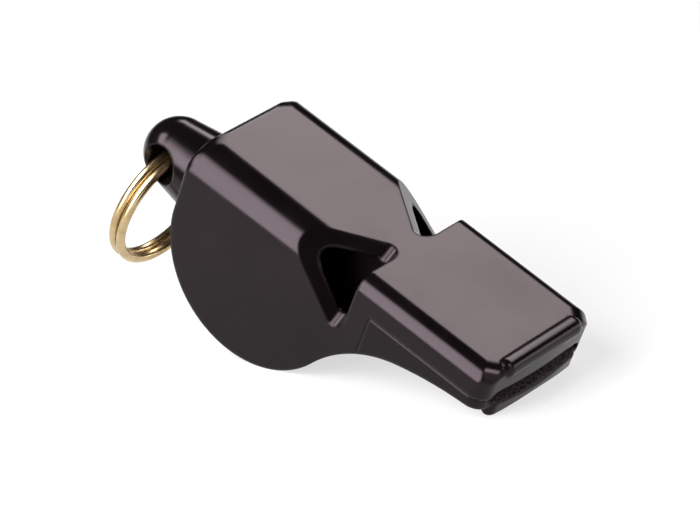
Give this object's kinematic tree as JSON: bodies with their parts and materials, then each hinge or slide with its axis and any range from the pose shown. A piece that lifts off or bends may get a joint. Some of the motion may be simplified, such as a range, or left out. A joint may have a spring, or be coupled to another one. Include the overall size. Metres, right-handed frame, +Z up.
{
  "type": "pealess whistle",
  "caption": "Pealess mouth whistle with a flat top, round belly, V-shaped side windows, bite beads and a tapered rear lug that carries a swinging split ring.",
  "frame": {"origin": "on the floor, under the centre of the bounding box, with the whistle lying on its belly and its lower bite bead", "axes": "+X from the lug towards the mouthpiece, +Z up, -Y the side seen in the picture"},
  "size_m": [0.0532, 0.018, 0.0227],
  "materials": {
    "body": "moulded, glossy",
    "insert": "moulded, glossy, with a grained windway floor",
    "split_ring": "polished"
  },
  "bodies": {
    "whistle": {"body": "body", "insert": "insert"},
    "ring": {"split_ring": "split_ring"}
  },
  "joints": [
    {"name": "ring_swing", "type": "hinge", "parent": "whistle", "child": "ring", "pos_m": [-0.0194, 0, 0.01722], "axis": [0, 1, 0], "range_deg": [-48, 174]}
  ]
}
